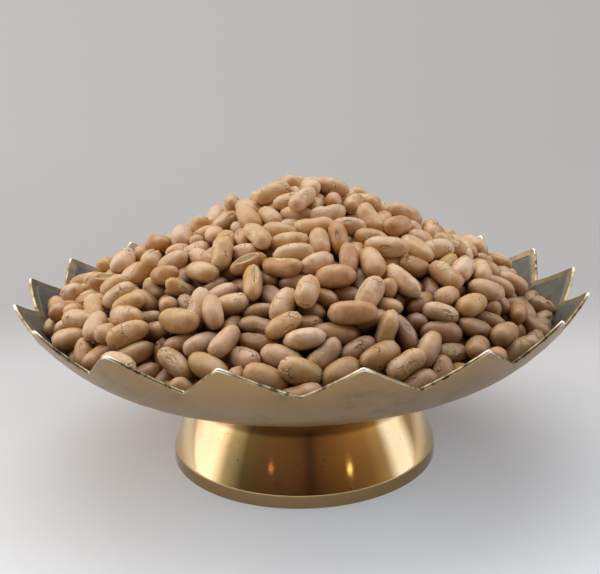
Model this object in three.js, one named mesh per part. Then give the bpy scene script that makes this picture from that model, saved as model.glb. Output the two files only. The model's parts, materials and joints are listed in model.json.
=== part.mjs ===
// A shallow sheet-brass bowl with a zigzag rim of petals, on a hollow flared foot,
// heaped with roasted soybeans. Millimetres, +Z up, the origin in the middle of the foot's base.
import * as THREE from 'three';

// Space left between pieces that touch each other.
const FIT_GAP = 0.3;

const BOWL = {
  tipRadius: 80,
  valleyRadius: 74.8,
  sheet: 1.0,
  undersideHeight: 26.4,
  undersideRise: 27.3,
  curvePower: 5,
  petals: 18,
  columnsPerPetal: 6,
  firstPetalTurn: THREE.MathUtils.degToRad(8.85),
  rings: 10,
  ringCrowding: 0.6,
};

const FOOT = {
  baseRadius: 39.6,
  ridgeRadius: 39.3,
  ridgeHeight: 3.6,
  flareRadius: 36.9,
  flareHeight: 9.6,
  collarRadius: 33.4,
  collarHeight: 16.8,
  ledge: 0.9,
  ledgeRise: 0.4,
  neckRadius: 31.0,
  neckHeight: 21.5,
  wall: 2.0,
  flareSteps: 6,
  columns: 48,
};

const HEAP = {
  topHeight: 80.5,
  topShift: 5.5,
  topRounding: 8,
  slope: 0.475,
  edgeRadius: 71.5,
  shoulder: 8,
  shoulderWidth: 7,
  columns: 72,
  topRings: 18,
  undersideRings: 5,
  undersideGap: 0.5,
};

// The beans that show at the heap's surface, as rounded lumps on its slope.
const BEAN_LUMP = {
  count: 165,
  length: 12,
  width: 8.5,
  height: 3.5,
};

const GOLDEN_ANGLE = Math.PI * (3 - Math.sqrt(5));

// ---- the bowl's curve ----

// Height of the bowl's underside at a radius: flat in the middle, steeper and steeper to the rim.
function undersideHeight(radius) {
  return BOWL.undersideHeight + BOWL.undersideRise * (radius / BOWL.tipRadius) ** BOWL.curvePower;
}

// A point that stands off the underside by a distance, square to the sheet: [radius, height].
function offSheet(radius, distance) {
  const reach = radius / BOWL.tipRadius;
  const steepness = BOWL.undersideRise * BOWL.curvePower * reach ** (BOWL.curvePower - 1) / BOWL.tipRadius;
  const tilt = Math.atan(steepness);
  return [
    radius - distance * Math.sin(tilt),
    undersideHeight(radius) + distance * Math.cos(tilt),
  ];
}

// Where the cut rim runs at an angle from the front: straight cuts from each tip to the valleys.
function rimRadius(angle) {
  const pitch = 2 * Math.PI / BOWL.petals;
  const turns = (angle - BOWL.firstPetalTurn) / pitch;
  const fromTip = 2 * Math.abs(turns - Math.round(turns));
  return THREE.MathUtils.lerp(BOWL.tipRadius, BOWL.valleyRadius, fromTip);
}

// ---- turned bodies ----

// Turns a loop of [radius, height] points about Z. The loop starts at the bottom of the axis,
// ends at its top, and may differ from one angle to the next. Angle 0 is the front, -Y.
function turnedBody(loopAt, columns, startAngle) {
  const positions = [];
  const indices = [];
  const inner = loopAt(startAngle).length - 2;
  const [, bottom] = loopAt(startAngle)[0];
  const [, top] = loopAt(startAngle)[inner + 1];
  for (let column = 0; column < columns; column += 1) {
    const angle = startAngle + 2 * Math.PI * column / columns;
    for (const [radius, height] of loopAt(angle).slice(1, -1)) {
      positions.push(radius * Math.sin(angle), -radius * Math.cos(angle), height);
    }
  }
  const bottomPole = columns * inner;
  const topPole = bottomPole + 1;
  positions.push(0, 0, bottom, 0, 0, top);
  for (let column = 0; column < columns; column += 1) {
    const here = column * inner;
    const next = (column + 1) % columns * inner;
    indices.push(bottomPole, next, here);
    for (let row = 0; row < inner - 1; row += 1) {
      indices.push(here + row, next + row, next + row + 1);
      indices.push(here + row, next + row + 1, here + row + 1);
    }
    indices.push(here + inner - 1, next + inner - 1, topPole);
  }
  const geometry = new THREE.BufferGeometry();
  geometry.setAttribute('position', new THREE.Float32BufferAttribute(positions, 3));
  geometry.setIndex(indices);
  geometry.computeVertexNormals();
  return geometry;
}

// Steps from 0 to 1, both ends included: even ones, or crowded towards 1 by a power below 1.
function steps(count, crowding = 1) {
  return Array.from({ length: count + 1 }, (_, step) => (step / count) ** crowding);
}

// ---- bowl ----

// One sheet: out along the underside, across the cut edge and back along the inside.
function bowlGeometry() {
  const fractions = steps(BOWL.rings, BOWL.ringCrowding);
  const loopAt = (angle) => {
    const rim = rimRadius(angle);
    const underside = fractions.map((part) => offSheet(part * rim, 0));
    const inside = fractions.map((part) => offSheet(part * rim, BOWL.sheet)).reverse();
    return [...underside, ...inside];
  };
  return turnedBody(loopAt, BOWL.petals * BOWL.columnsPerPetal, BOWL.firstPetalTurn);
}

// ---- foot ----

// The concave flare from the sharp ridge up to the collar's edge.
function flareCurve() {
  return new THREE.QuadraticBezierCurve(
    new THREE.Vector2(FOOT.ridgeRadius, FOOT.ridgeHeight),
    new THREE.Vector2(FOOT.flareRadius, FOOT.flareHeight),
    new THREE.Vector2(FOOT.collarRadius, FOOT.collarHeight),
  );
}

// A ring with an even wall: base, ridge, flare, collar and neck, open below and above.
function footGeometry() {
  const top = undersideHeight(FOOT.neckRadius) - FIT_GAP;
  const inset = (point) => new THREE.Vector2(point.x - FOOT.wall, point.y);
  const flare = flareCurve().getPoints(FOOT.flareSteps);
  const outside = [
    new THREE.Vector2(FOOT.baseRadius, 0),
    ...flare,
    new THREE.Vector2(FOOT.collarRadius - FOOT.ledge, FOOT.collarHeight + FOOT.ledgeRise),
    new THREE.Vector2(FOOT.neckRadius, FOOT.neckHeight),
    new THREE.Vector2(FOOT.neckRadius, top),
  ];
  const inside = [
    new THREE.Vector2(FOOT.baseRadius, 0),
    ...flare,
    new THREE.Vector2(FOOT.neckRadius, FOOT.neckHeight),
    new THREE.Vector2(FOOT.neckRadius, top),
  ].map(inset).reverse();
  const geometry = new THREE.LatheGeometry([...outside, ...inside, outside[0]], FOOT.columns);
  geometry.rotateX(Math.PI / 2);
  return geometry;
}

// ---- heap of beans ----

// A fixed scatter from 0 to 1 for each whole number.
function scatter(index) {
  const wave = Math.sin(index * 12.9898) * 43758.5453;
  return wave - Math.floor(wave);
}

// The lumps stand on a sunflower spiral, each one turned its own way.
function beanLumps() {
  return Array.from({ length: BEAN_LUMP.count }, (_, index) => {
    const radius = HEAP.edgeRadius * Math.sqrt((index + scatter(index)) / BEAN_LUMP.count);
    const angle = index * GOLDEN_ANGLE;
    return {
      x: radius * Math.sin(angle),
      y: -radius * Math.cos(angle),
      turn: Math.PI * scatter(index + BEAN_LUMP.count),
    };
  });
}

// How far the nearest lumps stand out of the slope at a place.
function lumpHeight(lumps, x, y) {
  let tallest = 0;
  for (const lump of lumps) {
    const along = (x - lump.x) * Math.cos(lump.turn) + (y - lump.y) * Math.sin(lump.turn);
    const across = (y - lump.y) * Math.cos(lump.turn) - (x - lump.x) * Math.sin(lump.turn);
    const reach = (2 * along / BEAN_LUMP.length) ** 2 + (2 * across / BEAN_LUMP.width) ** 2;
    tallest = Math.max(tallest, BEAN_LUMP.height * Math.sqrt(Math.max(0, 1 - reach)));
  }
  return tallest;
}

// Height of the heap's slope without its lumps: a cone with a rounded top, a little to the
// right of the middle, and a rounded shoulder at its edge.
function slopeHeight(radius, angle) {
  const lean = HEAP.topShift * (1 - radius / HEAP.edgeRadius);
  const x = radius * Math.sin(angle) - lean;
  const y = radius * Math.cos(angle);
  const fromTop = Math.hypot(x, y, HEAP.topRounding) - HEAP.topRounding;
  const overShoulder = Math.max(0, radius - HEAP.edgeRadius + HEAP.shoulderWidth) / HEAP.shoulderWidth;
  return HEAP.topHeight - BEAN_LUMP.height / 2 - HEAP.slope * fromTop - HEAP.shoulder * overShoulder ** 2;
}

// One solid: out along the inside of the bowl, then up the lumpy slope to the top.
function heapGeometry() {
  const lumps = beanLumps();
  const clearance = BOWL.sheet + HEAP.undersideGap;
  const surfaceHeight = (radius, angle) => {
    const x = radius * Math.sin(angle);
    const y = -radius * Math.cos(angle);
    return slopeHeight(radius, angle) + lumpHeight(lumps, x, y);
  };
  const loopAt = (angle) => {
    const fractions = steps(HEAP.undersideRings, BOWL.ringCrowding);
    const underside = fractions.map((part) => offSheet(part * HEAP.edgeRadius, clearance));
    const [edge] = underside[underside.length - 1];
    const slope = steps(HEAP.topRings).map((part) => [part * edge, surfaceHeight(part * edge, angle)]);
    return [...underside, ...slope.reverse()];
  };
  return turnedBody(loopAt, HEAP.columns, 0);
}

// ---- finishes ----

const brass = new THREE.MeshStandardMaterial({ color: 0xa08c66, roughness: 0.35, metalness: 1 });
const polishedBrass = new THREE.MeshStandardMaterial({ color: 0xc9a35c, roughness: 0.2, metalness: 1 });
const roastedSkin = new THREE.MeshStandardMaterial({ color: 0xc29c70, roughness: 0.6, metalness: 0 });

function piece(name, geometry, material) {
  const mesh = new THREE.Mesh(geometry, material);
  mesh.name = name;
  return mesh;
}

const bowlOfSoybeans = new THREE.Group();
bowlOfSoybeans.add(piece('bowl', bowlGeometry(), brass));
bowlOfSoybeans.add(piece('foot', footGeometry(), polishedBrass));
bowlOfSoybeans.add(piece('bean_heap', heapGeometry(), roastedSkin));

export default bowlOfSoybeans;
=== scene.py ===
import json
import math

import bpy
import numpy as np
from mathutils import Matrix

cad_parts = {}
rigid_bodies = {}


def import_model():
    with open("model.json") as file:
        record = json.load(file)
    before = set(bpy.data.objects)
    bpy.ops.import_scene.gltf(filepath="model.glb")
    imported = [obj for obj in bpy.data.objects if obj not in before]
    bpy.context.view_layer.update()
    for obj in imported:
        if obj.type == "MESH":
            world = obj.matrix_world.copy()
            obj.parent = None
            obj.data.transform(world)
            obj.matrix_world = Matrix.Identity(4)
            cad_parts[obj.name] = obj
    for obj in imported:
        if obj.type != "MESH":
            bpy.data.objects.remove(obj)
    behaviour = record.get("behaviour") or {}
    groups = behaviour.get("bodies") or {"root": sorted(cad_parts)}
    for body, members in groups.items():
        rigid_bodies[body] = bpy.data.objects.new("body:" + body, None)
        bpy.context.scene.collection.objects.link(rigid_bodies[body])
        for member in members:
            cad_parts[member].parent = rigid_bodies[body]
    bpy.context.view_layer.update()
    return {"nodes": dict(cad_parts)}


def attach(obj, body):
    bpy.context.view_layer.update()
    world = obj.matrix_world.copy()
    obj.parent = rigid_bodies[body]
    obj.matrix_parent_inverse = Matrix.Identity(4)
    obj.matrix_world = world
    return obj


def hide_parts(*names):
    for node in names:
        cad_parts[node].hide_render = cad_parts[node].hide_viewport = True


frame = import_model()
mm = 0.001
print("frame loaded:", sorted(frame["nodes"]))


def newObject(name, mesh):
    thing = bpy.data.objects.new(name, mesh)
    bpy.context.scene.collection.objects.link(thing)
    return thing


def meshFrom(name, points, faces=()):
    mesh = bpy.data.meshes.new(name)
    mesh.from_pydata(np.asarray(points).tolist(), [], [list(map(int, face)) for face in faces])
    mesh.update()
    return mesh


def storeValues(mesh, kind, **layers):
    # named values for each point
    key = "vector" if kind == "FLOAT_VECTOR" else "value"
    for name, values in layers.items():
        mesh.attributes.new(name, kind, "POINT").data.foreach_set(key, np.asarray(values).ravel())


def unit(vectors):
    return vectors / np.linalg.norm(vectors, axis=-1, keepdims=True)


def finishPiece(piece, slotName, *nodesReplaced):
    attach(piece, "root")
    if nodesReplaced:
        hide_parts(*nodesReplaced)
    print("  piece", piece.name, len(piece.data.polygons), "faces")


class Wire:
    # a value in a node tree, to reckon with: each sum adds a Math node to its tree
    def __init__(self, socket):
        self.socket = socket

    def __add__(self, other):
        return calc("ADD", self, other)

    def __sub__(self, other):
        return calc("SUBTRACT", self, other)

    def __rsub__(self, other):
        return calc("SUBTRACT", other, self)

    def __mul__(self, other):
        return calc("MULTIPLY", self, other)

    def __truediv__(self, other):
        return calc("DIVIDE", self, other)

    def __pow__(self, other):
        return calc("POWER", self, other)


def plug(value, socket):
    # links a wire to a socket, or sets a plain value on it
    if isinstance(value, Wire):
        socket.id_data.links.new(value.socket, socket)
    elif socket.type == "RGBA" and len(value) == 3:
        socket.default_value = (*value, 1.0)
    else:
        socket.default_value = value


def addNode(tree, kind, inputs=None, **settings):
    step = tree.nodes.new(kind)
    for key, value in settings.items():
        setattr(step, key, value)
    for key, value in (inputs or {}).items():
        plug(value, step.inputs[key])
    return step


def wire(tree, kind, inputs=None, output=0, **settings):
    # a new node, of which only one output is wanted
    return Wire(addNode(tree, kind, inputs, **settings).outputs[output])


def treeOf(*values):
    return next(value.socket.id_data for value in values if isinstance(value, Wire))


def calc(operation, *values):
    return wire(treeOf(*values), "ShaderNodeMath", dict(enumerate(values)), operation=operation)


def vectorCalc(operation, inputs, output="Vector"):
    return wire(treeOf(*inputs.values()), "ShaderNodeVectorMath", inputs, output, operation=operation)


def combine(x, y, z=0.0):
    return wire(treeOf(x, y, z), "ShaderNodeCombineXYZ", {0: x, 1: y, 2: z})


def split(vector):
    return [Wire(part) for part in addNode(treeOf(vector), "ShaderNodeSeparateXYZ", {0: vector}).outputs]


def scaled(vector, amount):
    return vectorCalc("SCALE", {0: vector, 3: amount})


def lengthOf(vector):
    return vectorCalc("LENGTH", {0: vector}, "Value")


def remap(value, fromLow, fromHigh, toLow=0.0, toHigh=1.0, kind="LINEAR"):
    inputs = {0: value, 1: fromLow, 2: fromHigh, 3: toLow, 4: toHigh}
    return wire(treeOf(value), "ShaderNodeMapRange", inputs, interpolation_type=kind)


def smooth(value, *limits):
    return remap(value, *limits, kind="SMOOTHSTEP")


def noise(place, scale, detail=3.0, roughness=0.5, output="Fac"):
    inputs = {"Vector": place, "Scale": scale, "Detail": detail, "Roughness": roughness}
    return wire(treeOf(place), "ShaderNodeTexNoise", inputs, output)


def blendColour(amount, first, second):
    inputs = {0: amount, 6: first, 7: second}
    return wire(treeOf(amount, first, second), "ShaderNodeMix", inputs, 2, data_type="RGBA")


def layered(colour, *layers):
    # each layer is an amount and a tint
    for amount, tint in layers:
        colour = blendColour(amount, colour, tint)
    return colour


def stretched(place, scale):
    return wire(treeOf(place), "ShaderNodeMapping", {"Vector": place, "Scale": scale})


def attribute(tree, name, output="Fac"):
    return wire(tree, "ShaderNodeAttribute", None, output, attribute_name=name)


def bump(height, strength, distance):
    inputs = {"Height": height, "Strength": strength, "Distance": distance}
    return wire(treeOf(height), "ShaderNodeBump", inputs)


def newMaterial(name):
    material = bpy.data.materials.new(name)
    material.use_nodes = True
    place = wire(material.node_tree, "ShaderNodeTexCoord", output="Object")
    return material, material.node_tree.nodes["Principled BSDF"], place


def setInputs(shader, values):
    for name, value in values.items():
        plug(value, shader.inputs[name])


def newGeometryTree(name, inputs, output="Geometry", outputKind="Geometry"):
    # gives the tree, its inputs as wires by name, and the socket that takes its result
    tree = bpy.data.node_groups.new(name, "GeometryNodeTree")
    for label, kind in inputs.items():
        tree.interface.new_socket(label, in_out="INPUT", socket_type="NodeSocket" + kind)
    tree.interface.new_socket(output, in_out="OUTPUT", socket_type="NodeSocket" + outputKind)
    start = addNode(tree, "NodeGroupInput").outputs
    given = {label: Wire(start[label]) for label in inputs}
    return tree, given, addNode(tree, "NodeGroupOutput").inputs[output]


def position(tree):
    return wire(tree, "GeometryNodeInputPosition")


def stored(tree, name, kind="FLOAT"):
    return wire(tree, "GeometryNodeInputNamedAttribute", {"Name": name}, data_type=kind)


def shapeOf(thing):
    return wire(treeOf(thing), "GeometryNodeObjectInfo", {"Object": thing}, "Geometry")


def clad(geometry, material, chosen=True):
    inputs = {"Geometry": geometry, "Selection": chosen, "Material": material}
    return wire(treeOf(geometry), "GeometryNodeSetMaterial", inputs)


def grow(name, tree, values):
    # runs a geometry tree on an empty mesh and keeps the result as a plain mesh
    holder = newObject(name + "Holder", bpy.data.meshes.new(name + "Holder"))
    modifier = holder.modifiers.new(name, "NODES")
    modifier.node_group = tree
    for item in tree.interface.items_tree:
        if item.in_out == "INPUT" and item.name in values:
            modifier[item.identifier] = values[item.name]
    sight = bpy.context.evaluated_depsgraph_get()
    mesh = bpy.data.meshes.new_from_object(
        holder.evaluated_get(sight), preserve_all_data_layers=True, depsgraph=sight)
    mesh.name = name
    bpy.data.objects.remove(holder)
    return newObject(name, mesh)


cameraPlan = dict(
    place=(-0.0001, -0.2276, 0.1098),
    lookDown=14.82,
    roll=-1.50,
    lens=48.2,
)


def makeCamera(plan):
    lens = bpy.data.cameras.new("camera")
    lens.lens = plan["lens"]
    lens.sensor_width = 36.0
    lens.clip_start = 0.01
    lens.clip_end = 20.0
    camera = bpy.data.objects.new("camera", lens)
    bpy.context.scene.collection.objects.link(camera)
    tilt = Matrix.Rotation(math.radians(90 - plan["lookDown"]), 4, "X")
    roll = Matrix.Rotation(math.radians(plan["roll"]), 4, "Z")
    camera.matrix_world = Matrix.Translation(plan["place"]) @ tilt @ roll
    bpy.context.scene.camera = camera


# the table, the backdrop and the light of the room
stagePlan = dict(
    floorSize=8.0,
    # painted light and shade: the floor is paler near the front than far back, and a little darker towards
    # the right
    nearColour=(0.70, 0.70, 0.675),
    farColour=(0.415, 0.412, 0.39),
    farEdge=(-0.02, 0.18),
    sideShade=(-0.35, 0.35, 0.98, 0.90),
    glow=(0.185, 0.217, 0.24),
    glowEdge=(0.05, -0.062),
    glowEnd=(-0.35, -0.14),
    glowMiddle=(0.02, 0.10, 1.35, 0.55),
    fade=(0.35, 1.25),
    roughness=0.75,
    specular=0.2,
    backdrop=(0.50, 0.49, 0.483),
    leftToRight=(1.09, 0.92),
    overhead=(2.70, 2.84, 3.08),
    overheadAim=(-0.06, 0.24, 0.968),
    overheadEdge=(0.84, 0.95),
    windowTop=(0.20, 0.42, 0.48, 0.95),
    glimmers=[(-30.0, 19.0, (1.0, 0.40, 0.18)), (39.0, 17.0, (4.0, 3.0, 1.3))],
    glimmerSize=(0.055, 0.016),
    glimmerEdge=(1.0, 0.4),
    strength=4.0,
)

# the room as the brass mirrors it, by the turn from the front in degrees: a tall window at
# each side, and a brown room behind the camera
roomPlan = [
    (-180, (0.13, 0.13, 0.13)),
    (-124, (0.42, 0.36, 0.25)),
    (-108, (0.84, 0.78, 0.86)),
    (-84, (0.98, 0.90, 1.02)),
    (-72, (0.24, 0.23, 0.17)),
    (-55, (0.05, 0.042, 0.025)),
    (-40, (0.042, 0.026, 0.014)),
    (-6, (0.034, 0.018, 0.010)),
    (5, (0.016, 0.009, 0.006)),
    (14, (0.036, 0.019, 0.010)),
    (38, (0.070, 0.040, 0.018)),
    (58, (0.115, 0.072, 0.038)),
    (74, (0.21, 0.16, 0.10)),
    (84, (0.68, 0.73, 0.93)),
    (99, (0.73, 0.79, 1.00)),
    (112, (0.20, 0.165, 0.13)),
    (140, (0.09, 0.09, 0.09)),
    (180, (0.13, 0.13, 0.13)),
]


def makeFloor(plan):
    # the far floor melts into the air, so no horizon shows
    half = plan["floorSize"] / 2
    corners = [(-half, -half, 0), (half, -half, 0), (half, half, 0), (-half, half, 0)]
    floor = newObject("floor", meshFrom("floor", corners, [(0, 1, 2, 3)]))
    material, shader, place = newMaterial("paleTable")
    tree = material.node_tree
    x, y = split(place)[:2]
    # painted light and shade: the floor is paler in front and darker further back, where it meets the
    # backdrop, and a little darker towards the right
    pale = blendColour(smooth(y, *plan["farEdge"]), plan["nearColour"], plan["farColour"])
    # the table glows a little towards the front, like a light table
    glow = smooth(y, *plan["glowEdge"]) * smooth(y, *plan["glowEnd"])
    setInputs(shader, {
        "Base Color": scaled(pale, remap(x, *plan["sideShade"])),
        "Emission Color": plan["glow"],
        "Emission Strength": glow * remap(calc("ABSOLUTE", x), *plan["glowMiddle"]),
        "Roughness": plan["roughness"],
        "Specular IOR Level": plan["specular"]})
    mixed = wire(tree, "ShaderNodeMixShader", {
        0: smooth(lengthOf(place), *plan["fade"]), 1: Wire(shader.outputs[0]),
        2: wire(tree, "ShaderNodeBsdfTransparent")})
    plug(mixed, tree.nodes["Material Output"].inputs["Surface"])
    floor.data.materials.append(material)


def makeAir(plan, room):
    # a plain pale backdrop to look at, and the room round it that lights the bowl
    world = bpy.data.worlds.new("air")
    world.use_nodes = True
    tree = world.node_tree
    aim = wire(tree, "ShaderNodeTexCoord", output="Generated")
    x, y, z = split(aim)
    turn = calc("ARCTAN2", x, y * -1.0)
    ramp = addNode(tree, "ShaderNodeValToRGB", {0: remap(turn, -math.pi, math.pi)})
    stops = ramp.color_ramp.elements
    while len(stops) < len(room):
        stops.new(0.5)
    for stop, (degrees, colour) in zip(stops, room):
        stop.position = (degrees + 180) / 360
        stop.color = (*colour, 1.0)
    light = scaled(Wire(ramp.outputs[0]), smooth(z, *plan["windowTop"]) * plan["strength"])
    for turnTo, rise, colour in plan["glimmers"]:
        # small lamps of the room: how far to the side and above one a direction lies, in its sizes
        wide, high = plan["glimmerSize"]
        aside = (turn - math.radians(turnTo)) * (1 / wide)
        above = (z - math.sin(math.radians(rise))) * (1 / high)
        light = blendColour(smooth(lengthOf(combine(aside, above)), *plan["glimmerEdge"]), light, colour)
    way = vectorCalc("NORMALIZE", {0: aim})
    near = vectorCalc("DOT_PRODUCT", {0: way, 1: plan["overheadAim"]}, "Value")
    light = blendColour(smooth(near, *plan["overheadEdge"]), light, plan["overhead"])
    paper = scaled(plan["backdrop"], remap(x, -0.4, 0.4, *plan["leftToRight"]))
    seen = wire(tree, "ShaderNodeLightPath", output="Is Camera Ray")
    plug(blendColour(seen, light, paper), tree.nodes["Background"].inputs["Color"])
    bpy.context.scene.world = world


makeCamera(cameraPlan)
makeFloor(stagePlan)
makeAir(stagePlan, roomPlan)
bpy.context.scene.view_settings.view_transform = "Standard"
print("camera, floor and air set")


# polishing scratches lie at a slant on the sheet, turning marks run round the foot
slantMarks = (700.0, 60.0, 900.0)
turningMarks = (8.0, 8.0, 2600.0)

# what all the brass has in common: where its noises begin and end, and how strongly they show
brassGrain = dict(
    patchEdge=(0.35, 0.68),
    speckScale=800.0,
    speckEdge=(0.735, 0.77, 0.0, 0.7),
    clusterScale=42.0,
    clusterEdge=(0.56, 0.65),
    spotScale=330.0,
    spotEdge=(0.45, 0.58),
    wornEdge=(0.82, 0.97),
    wearEdge=(0.3, 0.7),
    scratchDepth=0.05 * mm,
)

sheetLook = dict(
    light=(0.368, 0.240, 0.110),
    dark=(0.300, 0.192, 0.085),
    stain=(0.17, 0.125, 0.07),
    roughness=(0.27, 0.40),
    patchScale=26.0,
    stainScale=95.0,
    stainEdge=(0.58, 0.66),
    stainStrength=0.45,
    scratchBump=0.03,
    smudge=(0.155, 0.12, 0.075),
    smudgeStrength=0.45,
    marksScale=slantMarks,
)

cutLook = dict(
    light=(0.45, 0.37, 0.21),
    dark=(0.25, 0.195, 0.105),
    stain=(0.035, 0.028, 0.02),
    worn=(0.88, 0.80, 0.66),
    roughness=(0.30, 0.5),
    patchScale=260.0,
    stainScale=420.0,
    stainEdge=(0.50, 0.62),
    stainStrength=0.8,
    scratchBump=0.25,
    marksScale=slantMarks,
)

innerLook = dict(
    light=(0.40, 0.315, 0.18),
    dark=(0.24, 0.185, 0.11),
    stain=(0.13, 0.11, 0.07),
    roughness=(0.36, 0.5),
    patchScale=120.0,
    stainScale=160.0,
    stainEdge=(0.52, 0.68),
    stainStrength=0.6,
    scratchBump=0.05,
    marksScale=slantMarks,
)

footLook = dict(
    light=(0.84, 0.635, 0.35),
    dark=(0.75, 0.53, 0.25),
    stain=(0.36, 0.21, 0.08),
    # painted shade: the colour, and the heights, by which the low band and the neck are darkened as if in
    # shade
    paintedShade=(0.28, 0.175, 0.078),
    shadeBelow=(3.2 * mm, 3.9 * mm),
    shadeAbove=(16.6 * mm, 18.0 * mm),
    shadeStrength=0.85,
    roughness=(0.06, 0.11),
    patchScale=30.0,
    stainScale=110.0,
    stainEdge=(0.60, 0.74),
    stainStrength=0.35,
    scratchBump=0.03,
    marksScale=turningMarks,
)


def makeBrass(name, look):
    material, shader, place = newMaterial(name)
    grain = brassGrain
    patches = noise(place, look["patchScale"], 4.0, 0.6)
    stained = smooth(noise(place, look["stainScale"], 5.0, 0.62), *look["stainEdge"])
    specks = remap(noise(place, grain["speckScale"], 1.0), *grain["speckEdge"])
    colour = layered(
        blendColour(smooth(patches, *grain["patchEdge"]), look["light"], look["dark"]),
        (stained * look["stainStrength"], look["stain"]), (specks, look["stain"]))
    if "smudge" in look:
        # fingermarks and water spots, in clusters
        cluster = smooth(noise(place, grain["clusterScale"], 1.0), *grain["clusterEdge"])
        spots = remap(noise(place, grain["spotScale"], 3.0, 0.6), *grain["spotEdge"])
        colour = blendColour(cluster * spots * look["smudgeStrength"], colour, look["smudge"])
    if "paintedShade" in look:
        # painted shade: the low band and the neck are darkened, standing in for the dark floor the low band
        # mirrors and the shade the neck lies in
        height, strength = split(place)[2], look["shadeStrength"]
        low = smooth(height, *look["shadeBelow"], strength, 0.0)
        high = smooth(height, *look["shadeAbove"], 0.0, strength)
        colour = blendColour(low + high, colour, look["paintedShade"])
    if "worn" in look:
        # the tips of the petals are rubbed bright
        rubbed = attribute(material.node_tree, "tip")
        colour = blendColour(remap(rubbed, *grain["wornEdge"]), colour, look["worn"])
    marks = noise(stretched(place, look["marksScale"]), 1.0, 3.0, 0.6)
    wear = marks * 0.35 + patches * 0.65
    setInputs(shader, {
        "Base Color": colour,
        "Roughness": remap(wear, *grain["wearEdge"], *look["roughness"]),
        "Metallic": 1.0,
        "Normal": bump(marks, look["scratchBump"], grain["scratchDepth"])})
    return material


bowlPlan = dict(
    tipRadius=80.0 * mm,
    valleyRadius=74.8 * mm,
    sheet=0.85 * mm,
    undersideHeight=26.4 * mm,
    undersideRise=27.3 * mm,
    curvePower=5.0,
    petals=18,
    firstPetalTurn=8.85,
    stepsPerCut=38,
    rings=14,
    edgeRings=6,
    edgeRounding=0.22 * mm,
    liningDepth=0.5 * mm,
    weld=0.01 * mm,
    waviness=0.12 * mm,
    waveScale=45.0,
    fileMarks=0.09 * mm,
    fileMarksScale=(160.0, 500.0),
    tipRounding=0.03,
    valleyRounding=0.015,
    valleyTurn=1.0,
    slip=(-0.5, 0.5),
    reachSpread=(-0.5 * mm, 0.3 * mm),
    seed=11,
)

# hand-cut petals: how far a tip or valley lies from its even place, in degrees and mm, and the
# tips that are filed rounder than the others, as a share of the cut's length
petalNudges = {0: (0.0, 0.2), 1: (0.45, -0.1), 5: (-0.4, 0.3), 6: (-2.2, 0.5), 11: (-0.4, 0.5),
               14: (-0.8, 0.0), 15: (-0.65, 0.4), 16: (0.25, 0.3), 17: (-0.6, 0.4)}
valleyNudges = {0: (0.1, -0.15), 1: (0.4, -0.5), 2: (0.0, -0.5), 4: (0.5, 0.2), 5: (-0.4, 0.0),
                13: (-0.5, 0.2), 14: (-2.0, 1.0), 16: (-1.0, 0.0), 17: (0.0, -0.3)}
roundTips = {16: 0.13, 17: 0.06, 0: 0.05, 3: 0.07}


def rimCorners(plan):
    # angle, radius and rounding of each valley and tip in turn, round to the first valley again
    rng = np.random.default_rng(plan["seed"])
    pitch = math.radians(360 / plan["petals"])
    first = math.radians(plan["firstPetalTurn"])
    corners = []
    for petal in range(plan["petals"]):
        slip = np.radians(rng.uniform(*plan["slip"], 2))
        reach = rng.uniform(*plan["reachSpread"], 2)
        valleyTurn, valleyReach = valleyNudges.get(petal, (0, 0))
        tipTurn, tipReach = petalNudges.get(petal, (0, 0))
        turned = math.radians(plan["valleyTurn"] + valleyTurn)
        valleyAngle = first + (petal - 0.5) * pitch + slip[0] + turned
        tipAngle = first + petal * pitch + slip[1] + math.radians(tipTurn)
        valleyRadius = plan["valleyRadius"] + reach[0] + valleyReach * mm
        corners.append((valleyAngle, valleyRadius, plan["valleyRounding"]))
        rounding = roundTips.get(petal, plan["tipRounding"])
        rounded = rounding * (plan["tipRadius"] - plan["valleyRadius"])
        tipRadius = plan["tipRadius"] + min(0, reach[1] + tipReach * mm) + rounded
        corners.append((tipAngle, tipRadius, rounding))
    angle, radius, rounding = corners[0]
    return corners + [(angle + 2 * math.pi, radius, rounding)]


def sheetSection(plan):
    # fraction of the way to the rim, how far inside it, and height in the sheet, point by point
    out = np.linspace(0, 1, plan["rings"]) ** 0.7
    across = 0.5 - 0.5 * np.cos(np.linspace(0, np.pi, plan["edgeRings"] + 2))
    inset = plan["edgeRounding"] * (1 - np.sqrt(1 - np.abs(2 * across - 1) ** 4))
    section = [(part, inset[0], 0) for part in out[:-1]]
    section += [(1, gap, depth * plan["sheet"]) for gap, depth in zip(inset, across)]
    section += [(part, inset[-1], plan["sheet"]) for part in out[-2::-1]]
    return section


def makeSheetPoint(plan):
    # a point on the bowl's curve, so that the enamel follows the same uneven sheet
    tree, given, made = newGeometryTree(
        "sheetPoint", {"Angle": "Float", "Radius": "Float", "Depth": "Float"}, "Point", "Vector")
    angle, depth = given["Angle"], given["Depth"]
    reach = given["Radius"] / plan["tipRadius"]
    steepest = plan["undersideRise"] * plan["curvePower"] / plan["tipRadius"]
    tilt = calc("ARCTANGENT", reach ** (plan["curvePower"] - 1) * steepest)
    radius = given["Radius"] - depth * calc("SINE", tilt)
    lift = reach ** plan["curvePower"] * plan["undersideRise"]
    height = lift + plan["undersideHeight"] + depth * calc("COSINE", tilt)
    x = radius * calc("SINE", angle)
    y = radius * (calc("COSINE", angle) * -1.0)
    wave = (noise(combine(x, y), plan["waveScale"], 1.0) - 0.5) * reach * (2 * plan["waviness"])
    plug(combine(x, y, height + wave), made)
    return tree


def sampleAt(source, index):
    tree = treeOf(source)
    inputs = {"Geometry": source, "Value": position(tree), "Index": index}
    return split(wire(tree, "GeometryNodeSampleIndex", inputs, data_type="FLOAT_VECTOR", domain="POINT"))


def sheetPointAt(sheetPoint, angle, radius, depth):
    inputs = {"Angle": angle, "Radius": radius, "Depth": depth}
    return wire(treeOf(angle), "GeometryNodeGroup", inputs, "Point", node_tree=sheetPoint)


def between(first, second, amount):
    return (second - first) * amount + first


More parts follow.
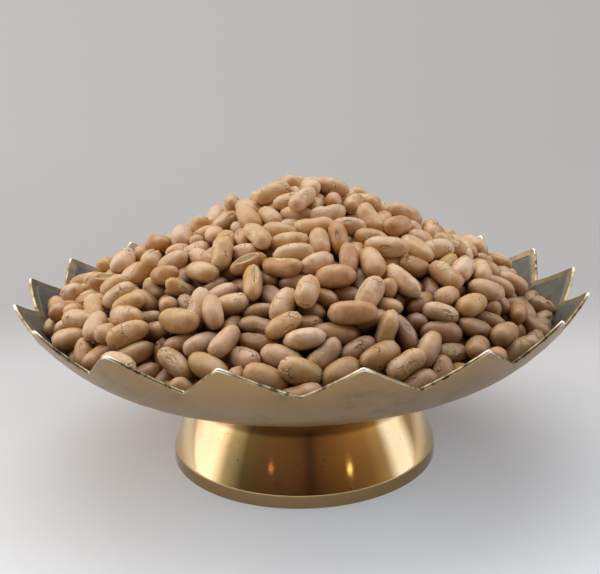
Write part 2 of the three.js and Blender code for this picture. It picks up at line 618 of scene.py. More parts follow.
def cutRadius(start, end, part):
    # straight from one corner's radius to the next, but rounded at both
    left = 1.0 - part
    leaving = calc("SQRT", part ** 2.0 + start[2] ** 2.0)
    nearing = calc("SQRT", left ** 2.0 + end[2] ** 2.0)
    return between(start[1], end[1], leaving - nearing + left)


def makeBowlTree(plan, sheetPoint):
    tree, given, made = newGeometryTree("petalBowl", {
        "Rim": "Object", "Section": "Object", "Cuts": "Int", "Steps": "Int", "Rows": "Int",
        "File Marks": "Float", "Outer Metal": "Material", "Inner Metal": "Material",
        "Cut Metal": "Material"})
    cuts, rows = given["Cuts"], given["Rows"]
    sheet = wire(tree, "GeometryNodeMeshGrid", {
        "Size X": 1.0, "Size Y": 1.0, "Vertices X": cuts * given["Steps"] + 1.0, "Vertices Y": rows})
    x, y = split(position(tree))[:2]
    along = (x + 0.5) * cuts
    cut = calc("MINIMUM", calc("FLOOR", along), cuts - 1.0)
    row = calc("ROUND", (y + 0.5) * (rows - 1.0))
    rim = shapeOf(given["Rim"])
    here, following = sampleAt(rim, cut), sampleAt(rim, cut + 1.0)
    fraction, inset, depth = sampleAt(shapeOf(given["Section"]), row)
    part = along - cut
    angle = between(here[0], following[0], part)
    # 1 at the tips, 0 in the valleys
    tip = calc("ABSOLUTE", calc("MODULO", cut, 2.0) - part)
    # file marks cross the cut edge, and meet where the sheet's seam closes
    atRim = calc("GREATER_THAN", fraction, 0.999)
    around, through = plan["fileMarksScale"]
    streak = combine(calc("COSINE", angle) * around, calc("SINE", angle) * around, depth * through)
    bite = noise(streak, 1.0, 2.0, 0.7) * given["File Marks"] * atRim
    radius = calc("MAXIMUM", fraction * cutRadius(here, following, part) - (inset + bite), 0.0)
    for name, value in (("cutEdge", atRim), ("depth", depth), ("tip", tip)):
        inputs = {"Geometry": sheet, "Name": name, "Value": value}
        sheet = wire(tree, "GeometryNodeStoreNamedAttribute", inputs, data_type="FLOAT", domain="POINT")
    point = sheetPointAt(sheetPoint, angle, radius, depth)
    sheet = wire(tree, "GeometryNodeSetPosition", {"Geometry": sheet, "Position": point})
    sheet = wire(tree, "GeometryNodeMergeByDistance", {"Geometry": sheet, "Distance": plan["weld"]})
    sheet = clad(sheet, given["Outer Metal"])
    lining = calc("GREATER_THAN", stored(tree, "depth"), plan["liningDepth"])
    sheet = clad(sheet, given["Inner Metal"], lining)
    sheet = clad(sheet, given["Cut Metal"], calc("GREATER_THAN", stored(tree, "cutEdge"), 0.9))
    plug(wire(tree, "GeometryNodeRealizeInstances", {"Geometry": sheet}), made)
    return tree


def makeBowl(plan):
    rim = newObject("rimPlan", meshFrom("rimPlan", rimCorners(plan)))
    sectionPoints = sheetSection(plan)
    section = newObject("sectionPlan", meshFrom("sectionPlan", sectionPoints))
    sheetPoint = makeSheetPoint(plan)
    bowl = grow("brassBowl", makeBowlTree(plan, sheetPoint), {
        "Rim": rim, "Section": section, "Cuts": 2 * plan["petals"], "Steps": plan["stepsPerCut"],
        "Rows": len(sectionPoints), "File Marks": plan["fileMarks"],
        "Outer Metal": makeBrass("sheetBrass", sheetLook),
        "Inner Metal": makeBrass("innerBrass", innerLook),
        "Cut Metal": makeBrass("cutBrass", cutLook)})
    bowl.data.shade_smooth()
    finishPiece(bowl, "bowl_brass", "bowl")
    return sheetPoint, rim, section


sheetPoint, rimObject, sectionObject = makeBowl(bowlPlan)
print("bowl made")


# a dark field and a red drop in each petal
enamelPlan = dict(
    innerRadius=70.0 * mm,
    border=1.5 * mm,
    sideShare=0.94,
    sunk=0.15 * mm,
    proud=0.10 * mm,
    across=28,
    outward=10,
    dropRadius=73.0 * mm,
    dropLength=2.7 * mm,
    dropWidth=4.0 * mm,
    dropHeight=0.22 * mm,
    dropTaper=(1.15, 0.6),
)

# ground, worn and tarnished colour of each enamel
enamelLook = dict(
    slate=((0.064, 0.073, 0.068), (0.13, 0.115, 0.09), (0.05, 0.042, 0.038)),
    red=((0.14, 0.026, 0.022), (0.07, 0.016, 0.014), (0.05, 0.042, 0.038)),
    roughness=(0.28, 0.5),
    cloudScale=190.0,
    cloudEdge=(0.40, 0.66),
    pitScale=900.0,
    pitEdge=(0.56, 0.70, 0.0, 0.8),
    bump=(0.35, 0.12 * mm),
)


def makeEnamel(name, colours, look):
    material, shader, place = newMaterial(name)
    ground, worn, tarnished = colours
    cloud = noise(place, look["cloudScale"], 4.0, 0.6)
    pits = noise(place, look["pitScale"], 3.0, 0.6)
    colour = blendColour(remap(cloud, *look["cloudEdge"]), ground, worn)
    setInputs(shader, {
        "Base Color": blendColour(remap(pits, *look["pitEdge"]), colour, tarnished),
        "Roughness": remap(cloud, 0.3, 0.7, *look["roughness"]),
        "Normal": bump(pits * 0.4 + cloud, *look["bump"])})
    return material


def spreadOverPetals(tree, given, patch):
    # one copy of a patch for each petal, so far apart that the petal's number is read off its place
    apart = 10.0
    row = wire(tree, "GeometryNodeMeshLine", {"Count": given["Petals"], "Offset": (apart, 0.0, 0.0)})
    laid = wire(tree, "GeometryNodeInstanceOnPoints", {"Points": row, "Instance": patch})
    real = wire(tree, "GeometryNodeRealizeInstances", {"Geometry": laid})
    x, y, z = split(position(tree))
    petal = calc("ROUND", x / apart)
    rim = shapeOf(given["Rim"])
    corners = [sampleAt(rim, petal * 2.0 + step) for step in (0.0, 1.0, 2.0)]
    return real, (x - petal * apart, y, z), corners


def layOnSheet(tree, given, geometry, point):
    # angle, radius and depth are a left-handed set, so the faces are turned round
    placed = wire(tree, "GeometryNodeSetPosition", {"Geometry": geometry, "Position": point})
    return clad(wire(tree, "GeometryNodeFlipFaces", {"Mesh": placed}), given["Enamel"])


def makeFieldTree(plan, sheetPoint):
    # a field follows its petal's cuts at a distance, and narrows to the brass line at each valley
    tree, given, made = newGeometryTree("enamelFields", {
        "Rim": "Object", "Petals": "Int", "Across": "Int", "Outward": "Int", "Border": "Float",
        "Inner Radius": "Float", "Side Share": "Float", "Enamel": "Material"})
    patch = wire(tree, "GeometryNodeMeshCube", {
        "Size": (2.0, 1.0, 1.0), "Vertices X": given["Across"], "Vertices Y": given["Outward"],
        "Vertices Z": 2})
    real, (x, y, z), (before, tip, after) = spreadOverPetals(tree, given, patch)
    share = calc("ABSOLUTE", x) * given["Side Share"]
    onRight = calc("GREATER_THAN", x, 0.0)
    valley = [between(low, high, onRight) for low, high in zip(before, after)]
    outer = cutRadius(tip, valley, share) - given["Border"]
    radius = between(given["Inner Radius"], outer, y + 0.5)
    sheet = bowlPlan["sheet"]
    depth = remap(z, -0.5, 0.5, sheet - plan["sunk"], sheet + plan["proud"])
    point = sheetPointAt(sheetPoint, between(tip[0], valley[0], share), radius, depth)
    plug(layOnSheet(tree, given, real, point), made)
    return tree


def makeDropTree(plan, sheetPoint):
    # a red drop at the foot of each petal, its narrow end towards the tip
    tree, given, made = newGeometryTree("enamelDrops", {
        "Rim": "Object", "Petals": "Int", "Radius": "Float", "Length": "Float", "Width": "Float",
        "Enamel": "Material"})
    ball = wire(tree, "GeometryNodeMeshUVSphere", {"Segments": 20, "Rings": 10, "Radius": 1.0})
    real, (x, y, z), (_, tip, _) = spreadOverPetals(tree, given, ball)
    half = given["Width"] * 0.5 / given["Radius"]
    angle = x * remap(y, -1.0, 1.0, *plan["dropTaper"]) * half + tip[0]
    radius = y * (given["Length"] * 0.5) + given["Radius"]
    depth = z * plan["dropHeight"] + bowlPlan["sheet"]
    plug(layOnSheet(tree, given, real, sheetPointAt(sheetPoint, angle, radius, depth)), made)
    return tree


def makeEnamels(plan, look):
    shared = {"Rim": rimObject, "Petals": bowlPlan["petals"]}
    fields = grow("enamelFields", makeFieldTree(plan, sheetPoint), {
        **shared, "Across": plan["across"] + 1, "Outward": plan["outward"] + 1,
        "Border": plan["border"], "Inner Radius": plan["innerRadius"], "Side Share": plan["sideShare"],
        "Enamel": makeEnamel("slateEnamel", look["slate"], look)})
    drops = grow("enamelDrops", makeDropTree(plan, sheetPoint), {
        **shared, "Radius": plan["dropRadius"], "Length": plan["dropLength"],
        "Width": plan["dropWidth"], "Enamel": makeEnamel("redEnamel", look["red"], look)})
    for piece in (fields, drops):
        piece.data.shade_smooth()
        finishPiece(piece, "bowl_brass")


makeEnamels(enamelPlan, enamelLook)
print("enamel made")


footPlan = dict(
    baseRadius=39.6 * mm,
    ridge=(39.3 * mm, 3.6 * mm),
    flareBend=(36.9 * mm, 9.6 * mm),
    collar=(33.4 * mm, 16.8 * mm),
    neck=(31.0 * mm, 21.5 * mm),
    wall=2.0 * mm,
    topGap=0.1 * mm,
    rounding=0.35 * mm,
    flareSteps=14,
    columns=240,
)


def bezier(start, bend, end, count):
    t = np.linspace(0, 1, count)[:, None]
    start, bend, end = map(np.array, (start, bend, end))
    return (1 - t) ** 2 * start + 2 * t * (1 - t) * bend + t ** 2 * end


def roundedOutline(corners, rounding, steps=4):
    # each corner of a closed outline becomes a short curve
    corners = np.array(corners)
    outline = []
    for before, corner, after in zip(np.roll(corners, 1, 0), corners, np.roll(corners, -1, 0)):
        ends = []
        for other in (before, after):
            length = np.linalg.norm(other - corner)
            ends.append(corner + (other - corner) / length * min(rounding, 0.45 * length))
        outline.extend(bezier(ends[0], corner, ends[1], steps))
    return np.array(outline)


def turnedMesh(name, outline, columns):
    # a closed outline of radius and height, turned about the upright axis
    angles = np.linspace(0, 2 * np.pi, columns, endpoint=False)
    rows = len(outline)
    radius, height = np.array(outline).T
    x = np.outer(np.sin(angles), radius)
    y = -np.outer(np.cos(angles), radius)
    z = np.tile(height, (columns, 1))
    points = np.stack([x, y, z], -1).reshape(-1, 3)
    column, row = np.meshgrid(np.arange(columns), np.arange(rows), indexing="ij")
    here, beside = column * rows, (column + 1) % columns * rows
    above = (row + 1) % rows
    faces = np.stack([here + row, beside + row, beside + above, here + above], -1).reshape(-1, 4)
    return meshFrom(name, points, faces)


def makeFoot(plan):
    top = bowlPlan["undersideHeight"] - plan["topGap"]
    flare = bezier(plan["ridge"], plan["flareBend"], plan["collar"], plan["flareSteps"])
    outside = [(plan["baseRadius"], 0), *flare, plan["neck"], (plan["neck"][0], top)]
    inside = [(plan["baseRadius"], 0), *flare[::3], plan["neck"], (plan["neck"][0], top)]
    inside = [(radius - plan["wall"], height) for radius, height in inside][::-1]
    outline = roundedOutline([*outside, *inside], plan["rounding"])
    foot = newObject("brassFoot", turnedMesh("brassFoot", outline, plan["columns"]))
    foot.data.shade_smooth()
    foot.data.materials.append(makeBrass("turnedBrass", footLook))
    finishPiece(foot, "foot_brass", "foot")


makeFoot(footPlan)
print("foot made")


heapPlan = dict(
    topHeight=78.6 * mm,
    topShift=5.5 * mm,
    topRounding=13.0 * mm,
    slope=0.475,
    edgeRadius=70.0 * mm,
    coreDepth=15.0 * mm,
    coreLumps=1.6 * mm,
    lumpSize=(1.3 * mm, 1.1 * mm),
    lumpSway=4.0 * mm,
    leastCore=0.2 * mm,
    coreColumns=144,
    coreRings=44,
    coreInset=4.0 * mm,
    # painted shade: the near-black colours of the core that shows between the beans
    coreShadeColours=((0.035, 0.015, 0.008), (0.08, 0.035, 0.015)),
    gap=0.3 * mm,
    dip=(-50.0 * mm, 27.0 * mm),
    dipReach=34.0 * mm,
    dipDepth=8.5 * mm,
)


def heapHeight(x, y):
    # the heap's outer slope: a cone with a rounded top a little to the right of the middle, and
    # a dip in its left, behind which more petals show
    plan = heapPlan
    lean = plan["topShift"] * (1 - np.hypot(x, y) / plan["edgeRadius"])
    fromTop = np.sqrt((x - lean) ** 2 + y ** 2 + plan["topRounding"] ** 2) - plan["topRounding"]
    fromDip = np.clip(np.hypot(x - plan["dip"][0], y - plan["dip"][1]) / plan["dipReach"], 0, 1)
    sunk = plan["dipDepth"] * (1 - fromDip ** 2 * (3 - 2 * fromDip))
    return plan["topHeight"] - plan["slope"] * fromTop - sunk


def heapNormal(x, y):
    step = 0.1 * mm
    slopeX = (heapHeight(x + step, y) - heapHeight(x - step, y)) / (2 * step)
    slopeY = (heapHeight(x, y + step) - heapHeight(x, y - step)) / (2 * step)
    return unit(np.stack([-slopeX, -slopeY, np.ones_like(slopeX)], -1))


def bowlFloor(radius):
    # height of the bowl's inside, and how steeply it rises
    plan = bowlPlan
    reach = radius / plan["tipRadius"]
    power = plan["curvePower"]
    rise = plan["undersideRise"] * power * reach ** (power - 1) / plan["tipRadius"]
    height = plan["undersideHeight"] + plan["undersideRise"] * reach ** power
    return height + plan["sheet"] * np.sqrt(1 + rise ** 2), rise


def makeCore(plan):
    # the unseen middle of the heap, painted near black: a dark body that stands in for the shade between the
    # beans
    rings = np.linspace(0, 1, plan["coreRings"] + 1)[1:]
    angles = np.linspace(0, 2 * np.pi, plan["coreColumns"], endpoint=False)
    reach = plan["edgeRadius"] - plan["coreInset"]
    radius, angle = np.meshgrid(rings * reach, angles)
    x, y = radius * np.sin(angle), -radius * np.cos(angle)
    lumpX, lumpY = plan["lumpSize"]
    lumps = np.sin(x / lumpX) * np.sin(y / lumpY + 2 * np.sin(x / plan["lumpSway"]))
    floor = bowlFloor(radius)[0] + plan["gap"]
    top = heapHeight(x, y) - plan["coreDepth"] - plan["coreLumps"] * (0.5 + 0.5 * lumps)
    top = np.maximum(top, floor + plan["leastCore"])
    upper = np.stack([x, y, top], -1)
    lower = np.stack([x, y, floor], -1)[:, ::-1]
    loop = np.concatenate([upper, lower], 1)
    rows = loop.shape[1]
    points = loop.reshape(-1, 3)
    peak = (0, 0, float(heapHeight(0.0, 0.0)) - plan["coreDepth"])
    base = (0, 0, float(bowlFloor(np.array(0.0))[0]) + plan["gap"])
    peakIndex, baseIndex = len(points), len(points) + 1
    faces = []
    for column in range(plan["coreColumns"]):
        here = column * rows
        beside = (column + 1) % plan["coreColumns"] * rows
        faces.append((peakIndex, here, beside))
        faces += [(here + row, here + row + 1, beside + row + 1, beside + row) for row in range(rows - 1)]
        faces.append((baseIndex, beside + rows - 1, here + rows - 1))
    core = newObject("heapCore", meshFrom("heapCore", [*points, peak, base], faces))
    core.data.shade_smooth()
    material, shader, place = newMaterial("deepBean")
    colour = blendColour(noise(place, 180.0), *plan["coreShadeColours"])
    setInputs(shader, {"Base Color": colour, "Roughness": 0.8})
    core.data.materials.append(material)
    finishPiece(core, "roasted_bean", "bean_heap")


makeCore(heapPlan)
print("heap core made")


beanPlan = dict(
    length=10.5 * mm,
    width=5.25 * mm,
    lengthSpread=0.07,
    widthSpread=0.055,
    markSpread=1.15,
    seed=20,
)

# share is the part of all beans; slit, split and scab are how strongly those marks show
plainKind = dict(share=0.30, shapes=6, rings=11, spokes=18, waist=0.0, flats=0,
                 slit=0.0, split=0.0, scab=0.0)
beanKinds = {
    "plain": plainKind,
    "slit": {**plainKind, "share": 0.25, "rings": 15, "spokes": 22, "slit": 1.0},
    "waisted": {**plainKind, "share": 0.13, "shapes": 4, "rings": 15, "spokes": 22, "waist": 0.12,
                "slit": 0.7, "scab": 0.9},
    "ridged": {**plainKind, "share": 0.13, "rings": 14, "spokes": 20, "flats": 3},
    "split": {**plainKind, "share": 0.08, "shapes": 4, "rings": 17, "spokes": 24, "split": 1.0},
    "flaky": {**plainKind, "share": 0.11, "shapes": 4, "rings": 15, "spokes": 22, "flats": 1,
              "slit": 1.0, "scab": 1.0},
}

# how one shape may differ from the next, in half lengths of the bean
shapePlan = dict(
    breadth=(0.52, 0.56),
    thickness=(0.87, 0.96),
    bluntness=(2.15, 2.6),
    taper=(-0.07, 0.07),
    bend=(0.0, 0.06),
    waistBend=1.1,
    waistReach=0.34,
    lumps=0.009,
    pressed=(0.76, 0.86),
    pressedFlat=0.75,
    # half length and half width of the eye of a slit and of a split
    slitEye=(0.25, 0.085),
    splitEye=(0.58, 0.17),
    eyePlace=(-0.14, 0.14),
    scabSize=(0.40, 0.34, 0.34),
    # rings crowd towards a mark and are drawn out along it
    crowding=1.35,
    drawnOut=0.8,
)


def lumpy(points, rng, scale, waves=7):
    # a smooth scatter between about -1 and 1
    total = np.zeros(len(points))
    for _ in range(waves):
        aim = rng.normal(size=3)
        total += np.sin(points @ aim * scale + rng.uniform(0, 2 * np.pi))
    return total / math.sqrt(waves)


def beanDirections(kind):
    # rings run from the marked side to the back, crowded and drawn out round the mark
    marked = kind["slit"] + kind["split"] > 0
    crowding = shapePlan["crowding"] if marked else 1.0
    polar = np.pi * (np.arange(1, kind["rings"]) / kind["rings"]) ** crowding
    around = 2 * np.pi * np.arange(kind["spokes"]) / kind["spokes"]
    polar, around = np.meshgrid(polar, around, indexing="ij")
    stretch = 1 + (shapePlan["drawnOut"] * np.exp(-(polar / 0.8) ** 2) if marked else 0)
    aim = np.stack([np.sin(polar) * np.cos(around) * stretch, np.cos(polar),
                    np.sin(polar) * np.sin(around) / stretch], -1).reshape(-1, 3)
    return unit(np.concatenate([[(0, 1, 0)], aim, [(0, -1, 0)]]))


def beanShape(name, kind, rng):
    # a blunt-ended oval, a little wider than thick, in half lengths
    plan = shapePlan
    aim = beanDirections(kind)
    breadth = rng.uniform(*plan["breadth"])
    thickness = breadth * rng.uniform(*plan["thickness"])
    blunt = rng.uniform(*plan["bluntness"])
    side = np.hypot(aim[:, 1] / breadth, aim[:, 2] / thickness)
    points = aim / (np.abs(aim[:, 0]) ** blunt + side ** blunt)[:, None] ** (1 / blunt)
    taper = rng.uniform(*plan["taper"])
    waist = kind["waist"] * np.exp(-(points[:, :1] / plan["waistReach"]) ** 2)
    points[:, 1:] *= (1 + taper * points[:, :1]) * (1 - waist)
    bend = rng.uniform(*plan["bend"]) + plan["waistBend"] * kind["waist"]
    points[:, 1] += bend * (points[:, 0] ** 2 - 0.3)
    points += plan["lumps"] * lumpy(points, rng, 3.5)[:, None] * aim
    for _ in range(kind["flats"]):
        # a flat where another bean pressed, which leaves a ridge
        flatSide = unit(rng.normal(size=3) * (0.3, 1, 1))
        over = points @ flatSide
        over = np.maximum(0, over - over.max() * rng.uniform(*plan["pressed"]))
        points -= plan["pressedFlat"] * over[:, None] * flatSide
    # the eye of the slit or split: 1 on its edge, less inside
    eyeLength, eyeWidth = plan["splitEye"] if kind["split"] else plan["slitEye"]
    middle = rng.uniform(*plan["eyePlace"])
    along = (points[:, 0] - middle) / eyeLength
    across = points[:, 2] / eyeWidth
    front = np.clip(points[:, 1] / 0.2, 0, 1)
    eye = along ** 2 + np.abs(across)
    inside = front * np.clip(1.3 - eye, 0, 1)
    lips = front * np.exp(-((eye - 1.5) / 0.5) ** 2)
    slitDepth = kind["slit"] * (0.02 * lips - 0.03 * inside)
    points[:, 1] += slitDepth + kind["split"] * (0.03 * lips - 0.09 * inside)
    # a rough patch beside the eye where the skin has flaked
    end = rng.uniform(0.25, 0.75) * rng.choice((-1, 1))
    spot = (end, rng.uniform(0.0, 0.5), rng.choice((-0.35, 0.35)))
    if kind["waist"]:
        spot = (rng.uniform(-0.2, 0.2), 0.4, 0.1)
    patch = np.exp(-(np.linalg.norm((points - spot) / plan["scabSize"], axis=1)) ** 3)
    rough = np.abs(lumpy(points, rng, 15.0))
    points += (kind["scab"] * patch * (0.03 * rough - 0.02))[:, None] * aim
    last = len(points) - 1
    spokes = kind["spokes"]
    faces = []
    for spoke in range(spokes):
        beside = (spoke + 1) % spokes
        faces.append((0, 1 + beside, 1 + spoke))
        faces.append((last, last - spokes + spoke, last - spokes + beside))
        for ring in range(kind["rings"] - 2):
            low = 1 + ring * spokes
            faces.append((low + spoke, low + beside, low + spokes + beside, low + spokes + spoke))
    mesh = meshFrom(name, points * beanPlan["length"] / 2, faces)
    even = np.ones(len(points))
    storeValues(mesh, "FLOAT_VECTOR", skin=points, eye=np.stack([along, across, front], -1))
    storeValues(mesh, "FLOAT", slit=kind["slit"] * even, split=kind["split"] * even,
                scab=kind["scab"] * patch)
    return mesh


settlePlan = dict(
    layers=(325, 335, 335),
    passes=(100, 130, 220),
    pull=0.22 * mm,  # square into the slope of the heap, in each pass
    cell=6.0 * mm,
    flatten=0.06,
    looseShare=0.16,
    downhillShare=0.27,
    headingSpread=30.0,
    tiltSpread=0.2,
    startInset=3.0 * mm,
    startLift=(2.0, 5.0),  # in mm
    floorRoom=5.0 * mm,
    edgeRoom=1.0 * mm,
    spreadLimits=(-2.0, 1.8),
    pullShare=0.9,
    nearby=1.2 * mm,  # room between two beans that may meet before the next search for pairs
    pairsEvery=4,
    haste=1.3,  # above 1, so that overlapping beans part sooner
    seed=5,
)

# five balls along a bean stand for it while it settles: place along it, and size
ballPlaces = np.array((-0.62, -0.36, 0.0, 0.36, 0.62))
ballSizes = np.array((0.66, 0.91, 1.0, 0.91, 0.66))


def startingTurns(rng, places, plan):
    # most beans start level along the slope, some point down it, and some lie anyhow
    normal = heapNormal(places[:, 0], places[:, 1])
    level = unit(np.stack([-places[:, 1], places[:, 0], np.zeros(len(places))], -1))
    downhill = np.cross(normal, level)
    heading = rng.normal(0, math.radians(plan["headingSpread"]), len(places))[:, None]
    heading += math.pi / 2 * (rng.random(heading.shape) < plan["downhillShare"])
    tilt = rng.normal(0, plan["tiltSpread"], heading.shape)
    axes = level * np.cos(heading) + downhill * np.sin(heading) + normal * tilt
    loose = rng.random(len(places)) < plan["looseShare"]
    axes[loose] = rng.normal(size=(loose.sum(), 3))
    axes = unit(axes)
    side = unit(np.cross(axes, rng.normal(size=axes.shape)))
    return np.stack([axes, side, np.cross(axes, side)], -1), loose


def closePairs(places, sizes, owners, plan):
    # pairs of balls of different beans in the same or neighbouring cells
    grid = np.floor(places / plan["cell"]).astype(np.int64)
    grid -= grid.min(0) - 1
    span = grid.max(0) + 2
    keys = (grid[:, 0] * span[1] + grid[:, 1]) * span[2] + grid[:, 2]
    order = np.argsort(keys, kind="stable")
    sortedKeys = keys[order]
    found = []
    steps = np.arange(-1, 2)
    offsets = (steps[:, None, None] * span[1] + steps[:, None]) * span[2] + steps
    for offset in offsets.ravel():
        if offset < 0:
            continue
        low = np.searchsorted(sortedKeys, sortedKeys + offset, "left")
        count = np.searchsorted(sortedKeys, sortedKeys + offset, "right") - low
        first = np.repeat(np.arange(len(keys)), count)
        second = np.arange(count.sum()) + np.repeat(low + count - np.cumsum(count), count)
        if offset == 0:
            later = second > first
            first, second = first[later], second[later]
        found.append(np.stack([order[first], order[second]]))
    first, second = np.concatenate(found, 1)
    reach = sizes[first] + sizes[second] + plan["nearby"]
    near = np.linalg.norm(places[first] - places[second], axis=1) < reach
    near &= owners[first] != owners[second]
    return first[near], second[near]


def pushApart(balls, sizes, first, second, haste):
    gap = balls[first] - balls[second]
    distance = np.linalg.norm(gap, axis=1) + 1e-9
    overlap = sizes[first] + sizes[second] - distance
    touching = overlap > 0
    first, second = first[touching], second[touching]
    push = gap[touching] / distance[touching, None] * (0.5 * overlap[touching, None])
    count = len(balls)
    shares = np.bincount(first, minlength=count) + np.bincount(second, minlength=count)
    total = [np.bincount(first, part, count) - np.bincount(second, part, count) for part in push.T]
    return balls + haste * np.stack(total, -1) / np.maximum(shares, 1)[:, None]


def keepInside(balls, sizes, edgeRoom):
    # out of the bowl's wall, out of the core, and not past the heap's edge
    radius = np.hypot(balls[:, 0], balls[:, 1]) + 1e-9
    outward = balls[:, :2] / radius[:, None]
    floor, rise = bowlFloor(radius)
    square = np.sqrt(1 + rise ** 2)
    short = np.maximum(0, sizes - (balls[:, 2] - floor) / square)
    balls[:, :2] -= outward * (short * rise / square)[:, None]
    balls[:, 2] += short / square
    normal = heapNormal(balls[:, 0], balls[:, 1])
    height = balls[:, 2] - heapHeight(balls[:, 0], balls[:, 1]) + heapPlan["coreDepth"]
    balls += normal * np.maximum(0, sizes - height * normal[:, 2])[:, None]
    over = np.maximum(0, radius - heapPlan["edgeRadius"] - edgeRoom)
    balls[:, :2] -= outward * (over / 2)[:, None]
    return balls


def turnTowards(turns, axes):
    # the smallest turn that brings each bean's length onto its new direction
    old = turns[:, :, 0]
    cross = np.cross(old, axes)
    spin = np.zeros((len(turns), 3, 3))
    spin[:, 0, 1], spin[:, 0, 2], spin[:, 1, 2] = -cross[:, 2], cross[:, 1], -cross[:, 0]
    spin -= spin.transpose(0, 2, 1)
    near = 1 + (old * axes).sum(1)
    return (np.eye(3) + spin + spin @ spin / near[:, None, None]) @ turns


def settleBeans(plan):
    # layer by layer, beans are drawn onto the slope of the heap until none overlap
    rng = np.random.default_rng(plan["seed"])
    centres, turns, sizes = np.zeros((0, 3)), np.zeros((0, 3, 3)), np.zeros((0, 2))
    flatten = np.zeros(0)
    for layer, (count, passes) in enumerate(zip(plan["layers"], plan["passes"])):
        radius = (heapPlan["edgeRadius"] - plan["startInset"]) * np.sqrt(rng.random(count))
        angle = rng.uniform(0, 2 * np.pi, count)
        x, y = radius * np.cos(angle), radius * np.sin(angle)
        depth = heapPlan["coreDepth"] * (1 - (layer + 1) / len(plan["layers"]))
        lift = rng.uniform(*plan["startLift"], count) * mm
        z = np.maximum(heapHeight(x, y) - depth + lift, bowlFloor(radius)[0] + plan["floorRoom"])
        spread = np.clip(rng.normal(size=(count, 2)), *plan["spreadLimits"])
        spread = spread * (beanPlan["lengthSpread"], beanPlan["widthSpread"])
        centres = np.vstack([centres, np.stack([x, y, z], -1)])
        newTurns, loose = startingTurns(rng, centres[-count:], plan)
        turns = np.concatenate([turns, newTurns])
        flatten = np.concatenate([flatten, np.where(loose, 0.0, plan["flatten"])])
        sizes = np.vstack([sizes, (beanPlan["length"], beanPlan["width"]) * (1 + spread)])
        ballSize = (sizes[:, 1:] / 2 * ballSizes).ravel()
        owners = np.repeat(np.arange(len(sizes)), len(ballPlaces))
        along = sizes[:, :1] / 2 * ballPlaces
        for step in range(passes):
            balls = centres[:, None] + turns[:, None, :, 0] * along[:, :, None]
            eased = max(0.0, 1 - step / (plan["pullShare"] * passes))
            balls -= heapNormal(centres[:, 0], centres[:, 1])[:, None] * plan["pull"] * eased
            balls = balls.reshape(-1, 3)
            if step % plan["pairsEvery"] == 0:
                first, second = closePairs(balls, ballSize, owners, plan)
            for _ in range(2):
                balls = pushApart(balls, ballSize, first, second, plan["haste"])
                balls = keepInside(balls, ballSize, plan["edgeRoom"])
            balls = balls.reshape(len(sizes), -1, 3)
            centres = balls.mean(1)
            axes = unit(((balls - centres[:, None]) * along[:, :, None]).sum(1))
            normal = heapNormal(centres[:, 0], centres[:, 1])
            steep = (axes * normal).sum(1) * flatten * eased
            turns = turnTowards(turns, unit(axes - steep[:, None] * normal))
        print("  layer", layer + 1, "settled,", len(sizes), "beans")
    return centres, turns, sizes


skinLook = dict(
    tan=(0.58, 0.35, 0.113),
    pink=(0.66, 0.41, 0.205),
    orange=(0.46, 0.20, 0.05),
    bleached=(0.84, 0.65, 0.45),
    # painted shade: the deep brown that beans below the heap's outside are darkened towards
    paintedDepthShade=(0.10, 0.028, 0.003),
    lineDark=(0.13, 0.05, 0.016),
    rawPale=(0.88, 0.69, 0.38),
    rawDark=(0.32, 0.15, 0.045),
    # depths below the heap's outside over which the painted shade comes in
    shadeDepthRange=(1.0 * mm, 7.0 * mm),
    roughness=(0.32, 0.46),
    specular=0.6,
    highlight=(1.0, 0.93, 0.82),
    bump=(0.8, 0.14 * mm),
    # how much each mark tints the skin, and how far it stands out of it or sinks in
    tints=dict(lifted=0.5, crack=0.85, middle=0.5, outline=0.9, crease=0.7, ripple=0.5, within=0.9,
               tornEdge=0.75, flake=0.8, paintedDepthShade=0.95),
    rises=dict(outline=-0.9, crack=-1.5, lifted=0.6, crease=-0.5, ripple=-0.5, hem=0.7),
    # the painted shade halves on beans further out than the heap's shoulder, which get light from the side;
    # in shares of its radius
    shoulder=(0.80, 0.92),
)


def nearTo(value, centre, reach):
    # 1 where a value is at the centre, falling to 0 at the reach
    return smooth(calc("ABSOLUTE", value - centre), 0.0, reach, 1.0, 0.0)


def paintedShadeInHeap(place, look):
    # painted shade: 0 at the heap's outside, 1 from a bean's thickness below it, where little light comes,
    # so beans there are painted darker
    plan = heapPlan
    x, y, z = split(place)
    run = lengthOf(combine(x - 0.5 * plan["topShift"], y, plan["topRounding"]))
    fromDip = lengthOf(combine(x - plan["dip"][0], y - plan["dip"][1]))
    sunk = smooth(fromDip, 0.0, plan["dipReach"], plan["dipDepth"], 0.0)
    peak = plan["topHeight"] + plan["slope"] * plan["topRounding"]
    below = run * -plan["slope"] + peak - sunk - z
    shoulder = [share * plan["edgeRadius"] for share in look["shoulder"]]
    return smooth(below, *look["shadeDepthRange"]) * remap(run, *shoulder, 1.0, 0.5)


